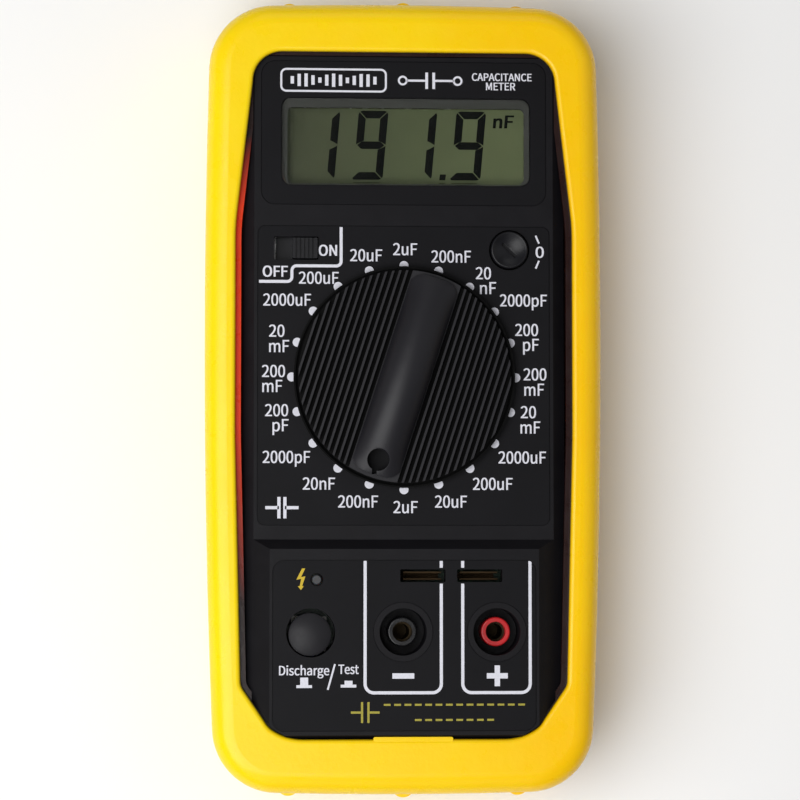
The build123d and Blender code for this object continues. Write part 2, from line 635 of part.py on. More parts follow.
with BuildPart() as handle:
    # round-backed sections, highest in the middle and running down to the rim at both ends
    for step in range(-HANDLE_STEPS, HANDLE_STEPS + 1):
        share = step / HANDLE_STEPS
        crown = KNOB_TOP - (KNOB_TOP - HANDLE_END_Z) * share**2
        station = Plane(dial_centre + along * share * HANDLE_REACH, x_dir=across, z_dir=-along)
        with BuildSketch(station):
            with BuildLine():
                ThreePointArc((-HANDLE_W / 2, HANDLE_FOOT), (0, crown), (HANDLE_W / 2, HANDLE_FOOT))
                Polyline((HANDLE_W / 2, HANDLE_FOOT), (HANDLE_W / 2, HANDLE_BASE),
                         (-HANDLE_W / 2, HANDLE_BASE), (-HANDLE_W / 2, HANDLE_FOOT))
            make_face()
    loft()
    # seen from above: ends with rounded corners
    with BuildSketch(Plane.XY.offset(36)) as plan_view:
        with Locations(handle_turn):
            RectangleRounded(HANDLE_W + 1, 2 * HANDLE_REACH - 0.6, 4.4)
    extrude(plan_view.sketch, amount=12, mode=Mode.INTERSECT)

with BuildPart() as selector_knob:
    disc(SKIRT_R, KNOB_BASE, KNOB_BASE + 2.2, [DIAL])
    disc(DISC_R, KNOB_BASE + 2.2, KNOB_BASE + 4.2, [DIAL])
    # dark ring between the ridged disc and the skirt's raised edge
    with BuildSketch(Plane.XY.offset(KNOB_BASE + 0.9)) as ring:
        with Locations(DIAL):
            Circle(SKIRT_R - 0.45)
            Circle(DISC_R, mode=Mode.SUBTRACT)
    extrude(ring.sketch, amount=2, mode=Mode.SUBTRACT)
    # ridges run the same way as the handle
    for side in (-1, 1):
        for i in range(GROOVES_PER_SIDE):
            offset_from_middle = side * (HANDLE_W / 2 + 0.7 + i * GROOVE_PITCH)
            with BuildSketch(Plane.XY.offset(GROOVE_FLOOR)) as groove:
                with Locations(Location(on_handle(0, offset_from_middle) + (0,), HANDLE_ANGLE)):
                    Rectangle(GROOVE_W, 2 * DISC_R)
            extrude(groove.sketch, amount=3, mode=Mode.SUBTRACT)
    add(handle.part)
    # hub that goes through the case, then the shaft down to the circuit board
    disc(HUB_R, 31.4, KNOB_BASE, [DIAL])
    disc(SHAFT_R, PCB_Z - 0.2, 31.4, [DIAL])
    disc(2.4, PCB_Z - 2.0, PCB_Z - 0.2, [DIAL])
    # pointer dimple with its notch towards the rim
    disc(DIMPLE_R, DIMPLE_FLOOR, KNOB_TOP, [on_handle(-22.2, 0)], Mode.SUBTRACT)
    plate(1.2, 1.2, DIMPLE_FLOOR, KNOB_TOP, [on_handle(-25.3, 0)], mode=Mode.SUBTRACT)
save(selector_knob, "selector_knob")

with BuildPart() as switch_rotor:
    disc(ROTOR_R, ROTOR_Z, ROTOR_Z + 2.0, [DIAL])
    disc(6.5, ROTOR_Z - 2.2, 31.2, [DIAL])
    disc(SHAFT_R + 0.02, ROTOR_Z - 3, 32.0, [DIAL], Mode.SUBTRACT)
    # two radial bores that hold the detent springs and balls
    for side in (-1, 1):
        pocket = [(DIAL[0] + side * 17.0, DIAL[1])]
        plate(11.0, 3.4, ROTOR_Z + 1.9, ROTOR_Z + 3.4, pocket, 0.4)
        plate(12.0, 1.7, ROTOR_Z + 1.3, ROTOR_Z + 2.9, [(DIAL[0] + side * 17.8, DIAL[1])],
              mode=Mode.SUBTRACT)
save(switch_rotor, "switch_rotor")

with BuildPart() as rotor_wipers:
    for k in range(4):
        angle = math.radians(45 + 90 * k)
        for reach in (9.5, 13.5, 17.5):
            x = DIAL[0] + reach * math.cos(angle)
            y = DIAL[1] + reach * math.sin(angle)
            disc(0.9, PCB_TOP + 0.1, PCB_TOP + 0.9, [(x, y)])
            disc(0.35, PCB_TOP + 0.9, ROTOR_Z, [(x, y)])
save(rotor_wipers, "rotor_wipers")

with BuildPart() as detent_ring:
    disc(26.0, ROTOR_Z + 0.4, ROTOR_Z + 5.6, [DIAL])
    disc(DETENT_R, ROTOR_Z, ROTOR_Z + 6.0, [DIAL], Mode.SUBTRACT)
    with BuildSketch(Plane.XY.offset(ROTOR_Z)) as notches:
        with Locations(DIAL):
            with PolarLocations(DETENT_R, RANGES):
                Circle(1.1)
    extrude(notches.sketch, amount=3.4, mode=Mode.SUBTRACT)
save(detent_ring, "detent_ring")

ball_spots = [(DIAL[0] + side * (DETENT_R - 0.9), DIAL[1]) for side in (-1, 1)]
with BuildPart() as detent_balls:
    with Locations(*[(x, y, ROTOR_Z + 2.1) for x, y in ball_spots]):
        Sphere(0.8)
save(detent_balls, "detent_balls")

with BuildPart() as detent_springs:
    for side in (-1, 1):
        for i in range(6):
            x = DIAL[0] + side * (13.4 + 1.6 * i)
            bar_x(0.65, min(x, x + side * 0.5), max(x, x + side * 0.5), [(DIAL[1], ROTOR_Z + 2.1)])
        x0 = DIAL[0] + side * 13.4
        x1 = DIAL[0] + side * 21.9
        bar_x(0.3, min(x0, x1), max(x0, x1), [(DIAL[1], ROTOR_Z + 2.1)])
save(detent_springs, "detent_springs")

with BuildPart() as rotor_clip:
    disc(4.6, PCB_Z - 1.1, PCB_Z - 0.3, [DIAL])
    disc(2.42, PCB_Z - 2, PCB_Z, [DIAL], Mode.SUBTRACT)
save(rotor_clip, "rotor_clip")

# ---- Power slide switch -----------------------------------------------------------
cap_x = POWER[0] + POWER_SLOT[0] / 2 - POWER_CAP[0] / 2 - 0.25
with BuildPart() as slide_switch_body:
    plate(14.0, 7.0, PCB_TOP, 28.4, [POWER], 0.4)
    plate(10.6, 3.4, 24.4, 29.0, [POWER], mode=Mode.SUBTRACT)
save(slide_switch_body, "slide_switch_body")

with BuildPart() as slide_switch_carrier:
    plate(5.2, 2.8, 24.7, POWER_CAP_Z, [(cap_x, POWER[1])])
save(slide_switch_carrier, "slide_switch_carrier")

with BuildPart() as slide_switch_cap:
    plate(*POWER_CAP, POWER_CAP_Z, 35.0, [(cap_x, POWER[1])], 0.3)
    plate(14.5, 7.4, 29.0, 30.1, [(cap_x, POWER[1])])
    plate(6.0, 4.6, 30.0, POWER_CAP_Z + 0.1, [(cap_x, POWER[1])])
    plate(5.24, 2.84, 28.0, POWER_CAP_Z, [(cap_x, POWER[1])], mode=Mode.SUBTRACT)
    ridge_xs = [cap_x + 1.05 * n for n in (-2, -1, 0, 1, 2)]
    plate(0.5, POWER_CAP[1] + 1, 34.4, 36.0, [(x, POWER[1]) for x in ridge_xs], mode=Mode.SUBTRACT)
save(slide_switch_cap, "slide_switch_cap")

# ---- Zero adjustment ---------------------------------------------------------------
with BuildPart() as zero_pot_body:
    plate(9.5, 9.5, PCB_TOP, PCB_TOP + 5.0, [ZERO], 0.5)
    disc(3.4, PCB_TOP + 5.0, PCB_TOP + 5.8, [ZERO])
    disc(1.55, PCB_TOP + 1.5, PCB_TOP + 6, [ZERO], Mode.SUBTRACT)
save(zero_pot_body, "zero_pot_body")

with BuildPart() as zero_pot_shaft:
    disc(1.5, PCB_TOP + 1.6, 32.6, [ZERO])
save(zero_pot_shaft, "zero_pot_shaft")

with BuildPart() as zero_adjust_knob:
    disc(ZERO_R, 31.0, FACE_Z + 0.9, [ZERO])
    fillet(zero_adjust_knob.faces().sort_by(Axis.Z)[-1].edges(), 0.5)
    disc(5.6, 28.6, 29.9, [ZERO])
    disc(4.0, 29.8, 31.1, [ZERO])
    with Locations((ZERO[0], ZERO[1], FACE_Z + 6.4)):
        Sphere(7.0, mode=Mode.SUBTRACT)
    with BuildSketch(Plane.XY.offset(FACE_Z - 1.3)) as slot_cut:
        with Locations(Location((ZERO[0], ZERO[1], 0), 45)):
            Rectangle(0.9, 4.8)
    extrude(slot_cut.sketch, amount=3, mode=Mode.SUBTRACT)
    disc(1.52, 28.0, 32.6, [ZERO], Mode.SUBTRACT)
save(zero_adjust_knob, "zero_adjust_knob")

# ---- Discharge and test push switch --------------------------------------------------
with BuildPart() as push_switch_body:
    plate(9.0, 9.0, PCB_TOP, 27.2, [BUTTON], 0.4)
    plate(5.4, 5.4, PCB_TOP + 0.8, 28.0, [BUTTON], mode=Mode.SUBTRACT)
save(push_switch_body, "push_switch_body")

with BuildPart() as push_switch_plunger:
    plate(4.8, 4.8, 23.6, 30.6, [BUTTON], 0.4)
save(push_switch_plunger, "push_switch_plunger")

with BuildPart() as discharge_button:
    disc(BUTTON_R, 30.6, BUTTON_TOP, [BUTTON])
    with Locations((BUTTON[0], BUTTON[1], BUTTON_TOP - BUTTON_DOME_R)):
        Sphere(BUTTON_DOME_R, mode=Mode.INTERSECT)
save(discharge_button, "discharge_button")

# ---- Tilt stand ----------------------------------------------------------------------
with BuildPart() as tilt_stand:
    middle = STAND_Y - STAND_L / 2
    plate(STAND_W, STAND_L - 3.0, STAND_BOTTOM, STAND_TOP, [(0, middle - 1.5)], 3.0)
    plate(STAND_W - 12, 6.0, STAND_BOTTOM, STAND_TOP, [(0, STAND_Y - 3.0)])
    bar_x(1.35, -STAND_W / 2, STAND_W / 2, [(STAND_Y, STAND_PIVOT_Z)])
    plate(18.0, 5.0, 0.0, 4.0, [(0, STAND_Y - STAND_L + 1.5)], 2.0, Mode.SUBTRACT)
    for y in (-18.0, -8.0, 2.0, 12.0, 22.0):
        plate(38.0, 2.4, 0.0, 1.1, [(0, y)], 1.1, Mode.SUBTRACT)
    bar_x(STUB_R, -STAND_W / 2 - 3.0, STAND_W / 2 + 3.0, [(STAND_Y, STAND_PIVOT_Z)])
save(tilt_stand, "tilt_stand")
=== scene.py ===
"""Looks of a hand-held capacitance meter in a yellow rubber holster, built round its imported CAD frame."""
import math

import bmesh
import bpy
from mathutils import Matrix, Vector


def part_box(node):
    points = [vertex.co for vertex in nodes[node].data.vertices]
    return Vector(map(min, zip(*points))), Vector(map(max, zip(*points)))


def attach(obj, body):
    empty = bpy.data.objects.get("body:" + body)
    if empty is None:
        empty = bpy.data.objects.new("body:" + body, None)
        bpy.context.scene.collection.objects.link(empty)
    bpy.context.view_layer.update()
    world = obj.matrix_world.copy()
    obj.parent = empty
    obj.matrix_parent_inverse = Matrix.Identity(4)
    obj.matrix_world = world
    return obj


MM = 0.001
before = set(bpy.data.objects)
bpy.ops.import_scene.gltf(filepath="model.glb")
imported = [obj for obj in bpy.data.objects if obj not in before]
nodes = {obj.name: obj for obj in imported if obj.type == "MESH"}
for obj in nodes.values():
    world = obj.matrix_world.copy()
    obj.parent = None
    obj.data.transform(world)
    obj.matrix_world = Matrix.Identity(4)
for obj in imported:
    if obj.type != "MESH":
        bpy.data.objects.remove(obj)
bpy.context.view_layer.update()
scene = bpy.context.scene


# ---- Places worked out from the frame -------------------------------------------
def centre_of(node):
    low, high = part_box(node)
    return (low + high) / 2


def top_of(node):
    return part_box(node)[1].z


dial = centre_of("selector_knob")
face_z = top_of("range_label")
block_z = top_of("terminal_label")
lcd_z = top_of("lcd_panel")
jack_minus = centre_of("negative_jack_body")
jack_plus = centre_of("positive_jack_body")
lamp = centre_of("charge_lamp")
zero = centre_of("zero_adjust_knob")
INK = 0.03 * MM  # thickness of the print
INK_LIFT = 0.012 * MM  # gap between the print and the face under it


# ---- Materials ---------------------------------------------------------------------
class Paint:
    """A node material under construction: object coordinates, noise layers and one shader."""

    def __init__(self, name):
        self.material = bpy.data.materials.new(name)
        self.material.use_nodes = True
        self.tree = self.material.node_tree
        self.shader = self.tree.nodes["Principled BSDF"]
        self.place = self.tree.nodes.new("ShaderNodeTexCoord").outputs["Object"]

    def node(self, kind, **values):
        made = self.tree.nodes.new(kind)
        for key, value in values.items():
            if key in made.inputs:
                made.inputs[key].default_value = value
            else:
                setattr(made, key, value)
        return made

    def link(self, source, target):
        self.tree.links.new(source, target)

    def noise(self, size_mm, detail=4.0, roughness=0.55, stretch=None):
        """Noise whose features are about size_mm across."""
        place = self.place
        if stretch:
            mapping = self.node("ShaderNodeMapping")
            mapping.inputs["Scale"].default_value = stretch
            self.link(place, mapping.inputs["Vector"])
            place = mapping.outputs["Vector"]
        made = self.node("ShaderNodeTexNoise", Scale=1.0 / (size_mm * MM), Detail=detail, Roughness=roughness)
        self.link(place, made.inputs["Vector"])
        return made.outputs["Fac"]

    def axes(self):
        """The object coordinates as separate X, Y and Z sockets."""
        made = self.node("ShaderNodeSeparateXYZ")
        self.link(self.place, made.inputs[0])
        return made.outputs

    def maths(self, operation, *sources):
        """One step of arithmetic on one or two sockets."""
        made = self.node("ShaderNodeMath", operation=operation)
        for source, target in zip(sources, made.inputs):
            self.link(source, target)
        return made.outputs[0]

    def blend(self, factor, first, second):
        """The first colour where factor is 0 and the second where it is 1."""
        made = self.node("ShaderNodeMix", data_type="RGBA")
        self.link(factor, made.inputs["Factor"])
        # a Mix node takes its two colours in sockets 6 and 7 and gives the result in 2
        self.link(first, made.inputs[6])
        self.link(second, made.inputs[7])
        return made.outputs[2]

    def remap(self, source, low, high, start=0.3, end=0.7):
        """The source with its span from start to end stretched to run from low to high."""
        made = self.node("ShaderNodeMapRange")
        made.inputs["From Min"].default_value = start
        made.inputs["From Max"].default_value = end
        made.inputs["To Min"].default_value = low
        made.inputs["To Max"].default_value = high
        self.link(source, made.inputs["Value"])
        return made.outputs["Result"]

    def ramp(self, source, colours, start=0.3, end=0.7):
        """Colours spread evenly over the source's span from start to end."""
        made = self.node("ShaderNodeValToRGB")
        elements = made.color_ramp.elements
        elements[0].position = start
        elements[0].color = (*colours[0], 1)
        elements[1].position = end
        elements[1].color = (*colours[-1], 1)
        for i, colour in enumerate(colours[1:-1], start=1):
            step = elements.new(start + (end - start) * i / (len(colours) - 1))
            step.color = (*colour, 1)
        self.link(source, made.inputs["Fac"])
        return made.outputs["Color"]

    def bump(self, source, height_mm, strength=1.0, below=None):
        made = self.node("ShaderNodeBump", Strength=strength, Distance=height_mm * MM)
        self.link(source, made.inputs["Height"])
        if below:
            self.link(below, made.inputs["Normal"])
        return made.outputs["Normal"]

    def finish(self, colour=None, rough=None, normal=None, **shader):
        if colour is not None:
            self.link(colour, self.shader.inputs["Base Color"])
        if rough is not None:
            self.link(rough, self.shader.inputs["Roughness"])
        if normal is not None:
            self.link(normal, self.shader.inputs["Normal"])
        for key, value in shader.items():
            self.shader.inputs[key.replace("_", " ")].default_value = value
        return self.material


def tinted(colour, factor):
    return tuple(min(1.0, c * factor) for c in colour)


def moulded(name, colour, rough=0.45, grain_mm=0.35, grain_height=0.02, mottle=0.12, **shader):
    """Injection moulded plastic: fine spark-eroded grain, faint mottling, uneven gloss."""
    paint = Paint(name)
    broad = paint.noise(9.0)
    fine = paint.noise(grain_mm, detail=3.0)
    base = paint.ramp(broad, [tinted(colour, 1 - mottle), colour, tinted(colour, 1 + mottle)])
    gloss = paint.remap(paint.noise(3.5), rough - 0.05, rough + 0.06)
    normal = paint.bump(fine, grain_height)
    return paint.finish(base, gloss, normal, **shader)


def metal(name, colour, rough=0.25, scratch=0.012, stretch=(1, 14, 1)):
    """Turned or drawn metal: stretched scratches and slightly uneven tarnish."""
    paint = Paint(name)
    tarnish = paint.noise(2.2)
    lines = paint.noise(0.5, detail=6.0, stretch=stretch)
    base = paint.ramp(tarnish, [tinted(colour, 0.82), colour, tinted(colour, 1.06)])
    gloss = paint.remap(lines, rough - 0.07, rough + 0.12)
    return paint.finish(base, gloss, paint.bump(lines, scratch), Metallic=1.0)


# where the holster's ledge lies inside its opening, the part painted with shade and glow: each pair runs from
# full cover to none
LEDGE_DEPTH = (2.2 * MM, 0.75 * MM)  # below the top of the case
LEDGE_SIDE = (43.2 * MM, 43.9 * MM)  # out from the middle, either way
LEDGE_END = (88.0 * MM, 88.8 * MM)
# the stretch of that ledge that gets the painted red glow of light bounced off the rubber
PAINTED_GLOW_SIDE = (-39.0 * MM, -37.0 * MM)
PAINTED_GLOW_FOOT = (-52.0 * MM, -8.0 * MM)
PAINTED_GLOW_HEAD = (48.0 * MM, 66.0 * MM)


def painted_ledge_mask(paint):
    """Mask of the painted shade and glow: 1 on the ledge inside the holster's opening and whatever lies
    deeper there, 0 outside it.
    """
    case_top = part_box("front_case")[1].z
    place = paint.axes()
    depth = paint.remap(place["Z"], 1.0, 0.0, case_top - LEDGE_DEPTH[0], case_top - LEDGE_DEPTH[1])
    inside = paint.remap(paint.maths("ABSOLUTE", place["X"]), 1.0, 0.0, *LEDGE_SIDE)
    within = paint.remap(paint.maths("ABSOLUTE", place["Y"]), 1.0, 0.0, *LEDGE_END)
    return paint.maths("MULTIPLY", paint.maths("MULTIPLY", depth, inside), within)


def painted_ledge_light(paint):
    """Painted light on the ledge: a red glow of bounced light along the lit left side's middle, and painted
    shade, nearly black, elsewhere.
    """
    place = paint.axes()
    left_side = paint.remap(place["X"], 1.0, 0.0, *PAINTED_GLOW_SIDE)
    from_foot = paint.remap(place["Y"], 0.0, 1.0, *PAINTED_GLOW_FOOT)
    to_head = paint.remap(place["Y"], 1.0, 0.0, *PAINTED_GLOW_HEAD)
    lit = paint.maths("MULTIPLY", left_side, paint.maths("MULTIPLY", from_foot, to_head))
    # near-black painted shade where the ledge is out of the light, a painted red glow of bounced light where
    # it is lit
    return paint.ramp(lit, [(0.016, 0.004, 0.003), (0.85, 0.042, 0.0005)], 0.0, 1.0)


def rubber_yellow():
    """Smooth glossy rubber with a soft orange-peel skin and a little light inside it. Its colour also carries
    painted light: yellower on the lit left, more orange on the dimmer right, and painted shade with a painted
    red glow on the ledge inside the opening.
    """
    paint = Paint("holster_rubber")
    holster_low, holster_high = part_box("holster")
    # painted light: the skin runs from pale yellow on the left, where the key light falls, to deeper orange
    # on the dimmer right
    across = paint.remap(paint.axes()["X"], 0.75, 0.15, holster_low.x, holster_high.x)
    blotch = paint.remap(paint.noise(28.0, detail=3.0), -0.1, 0.1)
    tone = paint.maths("ADD", across, blotch)
    skin = paint.ramp(tone, [(1.0, 0.57, 0.0), (1.0, 0.66, 0.001), (1.0, 0.74, 0.002)], 0.1, 0.9)
    # on the ledge, the painted shade and glow take the place of the rubber's own colour
    base = paint.blend(painted_ledge_mask(paint), skin, painted_ledge_light(paint))
    gloss = paint.remap(paint.noise(6.0), 0.24, 0.36)
    peel = paint.bump(paint.noise(1.6, detail=2.0), 0.035)
    grain = paint.bump(paint.noise(0.22, detail=2.0), 0.006, below=peel)
    return paint.finish(
        base, gloss, grain,
        Subsurface_Weight=0.12, Subsurface_Radius=(0.004, 0.0022, 0.0002), Subsurface_Scale=1.0,
        Coat_Weight=0.05, Coat_Roughness=0.2, Specular_IOR_Level=0.3,
    )


def printed_film(name, colour, rough=0.5):
    """Polyester label film: even, with very fine dust-like sparkle."""
    paint = Paint(name)
    speck = paint.noise(0.12, detail=2.0)
    broad = paint.noise(14.0)
    base = paint.ramp(broad, [tinted(colour, 0.88), colour, tinted(colour, 1.12)])
    gloss = paint.remap(speck, rough - 0.06, rough + 0.08)
    return paint.finish(base, gloss, paint.bump(speck, 0.006), Specular_IOR_Level=0.12)


def ink(name, colour, rough=0.55, **shader):
    """Screen-printed ink, slightly uneven in cover."""
    paint = Paint(name)
    cover = paint.noise(0.5, detail=5.0)
    base = paint.ramp(cover, [tinted(colour, 0.88), colour], 0.25, 0.6)
    gloss = paint.remap(cover, rough - 0.05, rough + 0.1)
    return paint.finish(base, gloss, paint.bump(cover, 0.004), **shader)


def crystal_glass():
    """Reflective liquid crystal panel: olive ground, darker towards the left, with a fine haze."""
    paint = Paint("lcd_ground")
    low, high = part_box("lcd_panel")
    across = paint.remap(paint.axes()["X"], 0.0, 1.0, low.x, high.x)
    olive_tones = [(0.062, 0.070, 0.037), (0.094, 0.111, 0.053), (0.128, 0.151, 0.070)]
    base = paint.ramp(across, olive_tones, 0.05, 0.9)
    haze = paint.noise(0.15, detail=2.0)
    gloss = paint.remap(haze, 0.42, 0.55)
    return paint.finish(base, gloss, paint.bump(haze, 0.001), Specular_IOR_Level=0.2)


def clear_acrylic(name, tint=(0.97, 0.98, 0.97), rough=0.0, ior=1.49):
    """Clear moulding with a faint smear on it."""
    paint = Paint(name)
    smear = paint.noise(7.0, detail=2.0)
    base = paint.ramp(smear, [tinted(tint, 0.97), tint])
    gloss = paint.remap(smear, rough, rough + 0.015)
    return paint.finish(base, gloss, Transmission_Weight=1.0, IOR=ior)


def circuit_green():
    """Green solder mask with a grid of slightly lighter tracks under it."""
    paint = Paint("board_green")
    tracks = paint.node("ShaderNodeTexBrick", Scale=1.0 / (9.0 * MM))
    paint.link(paint.place, tracks.inputs["Vector"])
    tracks.inputs["Color1"].default_value = (0.0030, 0.030, 0.010, 1)
    tracks.inputs["Color2"].default_value = (0.0038, 0.036, 0.013, 1)
    tracks.inputs["Mortar"].default_value = (0.007, 0.055, 0.020, 1)
    tracks.inputs["Mortar Size"].default_value = 0.03
    weave = paint.noise(0.8)
    return paint.finish(tracks.outputs["Color"], paint.remap(weave, 0.25, 0.4), paint.bump(weave, 0.01))


# the range knob's grooves, measured down from its top; painted shade darkens their floors
GROOVE_FLOOR = 8.2 * MM
GROOVE_SHADE_END = 7.3 * MM


def selector_plastic():
    """The range knob's black plastic: fine grain, matt floors between its ridges, and painted shade that
    darkens those floors.
    """
    paint = Paint("selector_black")
    height = paint.axes()["Z"]
    knob_top = top_of("selector_knob")
    groove = (knob_top - GROOVE_FLOOR, knob_top - GROOVE_SHADE_END)
    # painted shade: near black at the groove floors, fading to the plastic's own dark grey towards the ridge
    # tops
    groove_shade_fade = paint.remap(height, 0.0, 1.0, *groove)
    base = paint.ramp(groove_shade_fade, [(0.0004, 0.0004, 0.0005), (0.0125, 0.0120, 0.0150)], 0.0, 1.0)
    gloss = paint.remap(height, 1.0, 0.46, *groove)
    grain = paint.noise(0.35, detail=3.0)
    return paint.finish(base, gloss, paint.bump(grain, 0.014), Specular_IOR_Level=0.3)


holster_yellow = rubber_yellow()
case_black = moulded("case_black", (0.0066, 0.0062, 0.0078), rough=0.44, grain_mm=0.28, grain_height=0.018,
                     Specular_IOR_Level=0.14)
knob_black = moulded("knob_black", (0.0072, 0.0072, 0.0092), rough=0.36, grain_mm=0.35, grain_height=0.012,
                     Specular_IOR_Level=0.28)
selector_black = selector_plastic()
button_black = moulded("button_black", (0.0125, 0.0120, 0.0145), rough=0.52, grain_mm=0.4, grain_height=0.02,
                       Specular_IOR_Level=0.28)
film_black = printed_film("film_black", (0.0052, 0.0050, 0.0064))
gloss_black = moulded("gloss_black", (0.006, 0.006, 0.007), rough=0.25, grain_height=0.005)
gloss_red = moulded("gloss_red", (0.52, 0.014, 0.018), rough=0.28, grain_height=0.006)
natural_white = moulded("natural_white", (0.72, 0.71, 0.66), rough=0.42, grain_height=0.008)
chip_black = moulded("chip_epoxy", (0.012, 0.012, 0.013), rough=0.6, grain_mm=0.15)
lamp_grey = moulded("lamp_grey", (0.040, 0.038, 0.041), rough=0.5, grain_height=0.004, Subsurface_Weight=0.2)
resistor_tan = moulded("resistor_lacquer", (0.50, 0.33, 0.17), rough=0.3)
wrap_blue = moulded("battery_jacket", (0.03, 0.07, 0.22), rough=0.3, mottle=0.2)
strip_grey = moulded("silicone_grey", (0.25, 0.25, 0.26), rough=0.6)
steel = metal("zinc_steel", (0.62, 0.62, 0.63))
brass = metal("clip_brass", (0.74, 0.52, 0.22), rough=0.2)
# painted shade: both contacts are coloured nearly black for the depth of the sockets and slots they sit in,
# not bronze's own colour
socket_bronze_shaded = metal("socket_bronze_shaded", (0.022, 0.016, 0.009), rough=0.4)
bronze = metal("contact_bronze_shaded", (0.040, 0.026, 0.014), rough=0.45)
foil = metal("shield_foil", (0.75, 0.75, 0.77), rough=0.35)
board_green = circuit_green()
lcd_ground = crystal_glass()
lens_clear = clear_acrylic("lens_clear", ior=1.25)
fuse_clear = clear_acrylic("fuse_clear")
white_ink = ink("white_ink", (0.71, 0.71, 0.78))
mask_ink = ink("mask_ink", (0.034, 0.036, 0.030))
olive_ink = ink("olive_ink", (0.36, 0.31, 0.028))
bolt_ink = ink("bolt_ink", (0.60, 0.42, 0.012))
segment_dark = ink("segment_dark", (0.003, 0.004, 0.003), rough=0.6, Specular_IOR_Level=0.05)

NODE_MATERIALS = {
    "holster": holster_yellow,
    "front_case": case_black,
    "rear_case": case_black,
    "battery_cover": case_black,
    "tilt_stand": case_black,
    "display_label": film_black,
    "range_label": film_black,
    "terminal_label": film_black,
    "display_lens": lens_clear,
    "lcd_panel": lcd_ground,
    "lcd_frame": gloss_black,
    "contact_strips": strip_grey,
    "circuit_board": board_green,
    "converter_chip": chip_black,
    "amplifier_chips": chip_black,
    "resistors": resistor_tan,
    "capacitors": resistor_tan,
    "trimmers": natural_white,
    "fuse": fuse_clear,
    "fuse_clips": brass,
    "battery": wrap_blue,
    "battery_snap": gloss_black,
    "red_battery_wire": gloss_red,
    "black_battery_wire": gloss_black,
    "negative_jack_body": gloss_black,
    "positive_jack_body": gloss_red,
    "negative_jack_contact": socket_bronze_shaded,
    "positive_jack_contact": socket_bronze_shaded,
    "slot_contacts": bronze,
    "charge_lamp": lamp_grey,
    "detent_ring": natural_white,
    "slide_switch_body": steel,
    "zero_pot_body": gloss_black,
    "push_switch_body": natural_white,
    "rear_shield": foil,
    "selector_knob": selector_black,
    "switch_rotor": natural_white,
    "rotor_wipers": brass,
    "slide_switch_cap": knob_black,
    "slide_switch_carrier": natural_white,
    "zero_adjust_knob": knob_black,
    "zero_pot_shaft": natural_white,
    "discharge_button": button_black,
    "push_switch_plunger": natural_white,
}
# what isn't listed is steel: the screws, and the selector's balls, springs and clip
for node_name, node_object in nodes.items():
    finish_material = NODE_MATERIALS.get(node_name, steel)
    node_object.data.materials.clear()
    node_object.data.materials.append(finish_material)


WELD_DISTANCE = 1e-6


def soften(node, width_mm, segments=2, angle=35):
    """Small moulding radius on a CAD node's sharp edges."""
    weld = nodes[node].modifiers.new("weld", "WELD")
    weld.merge_threshold = WELD_DISTANCE
    bevel = nodes[node].modifiers.new("edge_radius", "BEVEL")
    bevel.width = width_mm * MM
    bevel.segments = segments
    bevel.limit_method = "ANGLE"
    bevel.angle_limit = math.radians(angle)
    bevel.harden_normals = False


EDGE_RADII_MM = {"front_case": 0.2, "discharge_button": 0.35, "slide_switch_cap": 0.12,
                 "selector_knob": 0.12, "zero_adjust_knob": 0.12, "tilt_stand": 0.3}
for node_name, radius in EDGE_RADII_MM.items():
    soften(node_name, radius)


# ---- Flat print: strokes, discs and lettering ------------------------------------------
def ink_piece(name, faces, z, material, body="meter"):
    """Closed flat shapes, each a list of (x, y) points, as one thin raised piece."""
    mesh = bpy.data.meshes.new(name)
    shape = bmesh.new()
    for outline in faces:
        lower = [shape.verts.new((x, y, z + INK_LIFT)) for x, y in outline]
        upper = [shape.verts.new((x, y, z + INK_LIFT + INK)) for x, y in outline]
        shape.faces.new(upper)
        shape.faces.new(lower[::-1])
        for i in range(len(outline)):
            j = (i + 1) % len(outline)
            shape.faces.new((lower[i], lower[j], upper[j], upper[i]))
    bmesh.ops.recalc_face_normals(shape, faces=shape.faces)
    shape.to_mesh(mesh)
    shape.free()
    piece = bpy.data.objects.new(name, mesh)
    scene.collection.objects.link(piece)
    mesh.materials.append(material)
    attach(piece, body)


def circle(x, y, radius, steps=40):
    """Points round a circle."""
    turns = [math.tau * i / steps for i in range(steps)]
    return [(x + radius * math.cos(turn), y + radius * math.sin(turn)) for turn in turns]


def rounded(points, radius, steps=8):
    """An open path with an arc at each inner corner."""
    path = [Vector(points[0])]
    for before, corner, after in zip(points, points[1:], points[2:]):
        a = (Vector(before) - Vector(corner)).normalized()
        b = (Vector(after) - Vector(corner)).normalized()
        half = a.angle(b) / 2
        cut = radius / math.tan(half)
        centre = Vector(corner) + (a + b).normalized() * radius / math.sin(half)
        start = Vector(corner) + a * cut - centre
        end = Vector(corner) + b * cut - centre
        turn = math.pi - 2 * half
        sign = 1 if start.x * end.y - start.y * end.x > 0 else -1
        for i in range(steps + 1):
            path.append(centre + Matrix.Rotation(sign * turn * i / steps, 2) @ start)
    path.append(Vector(points[-1]))
    return path


MITRE_LIMIT = 0.5  # a sharp corner is at most 1 / MITRE_LIMIT as wide as its line


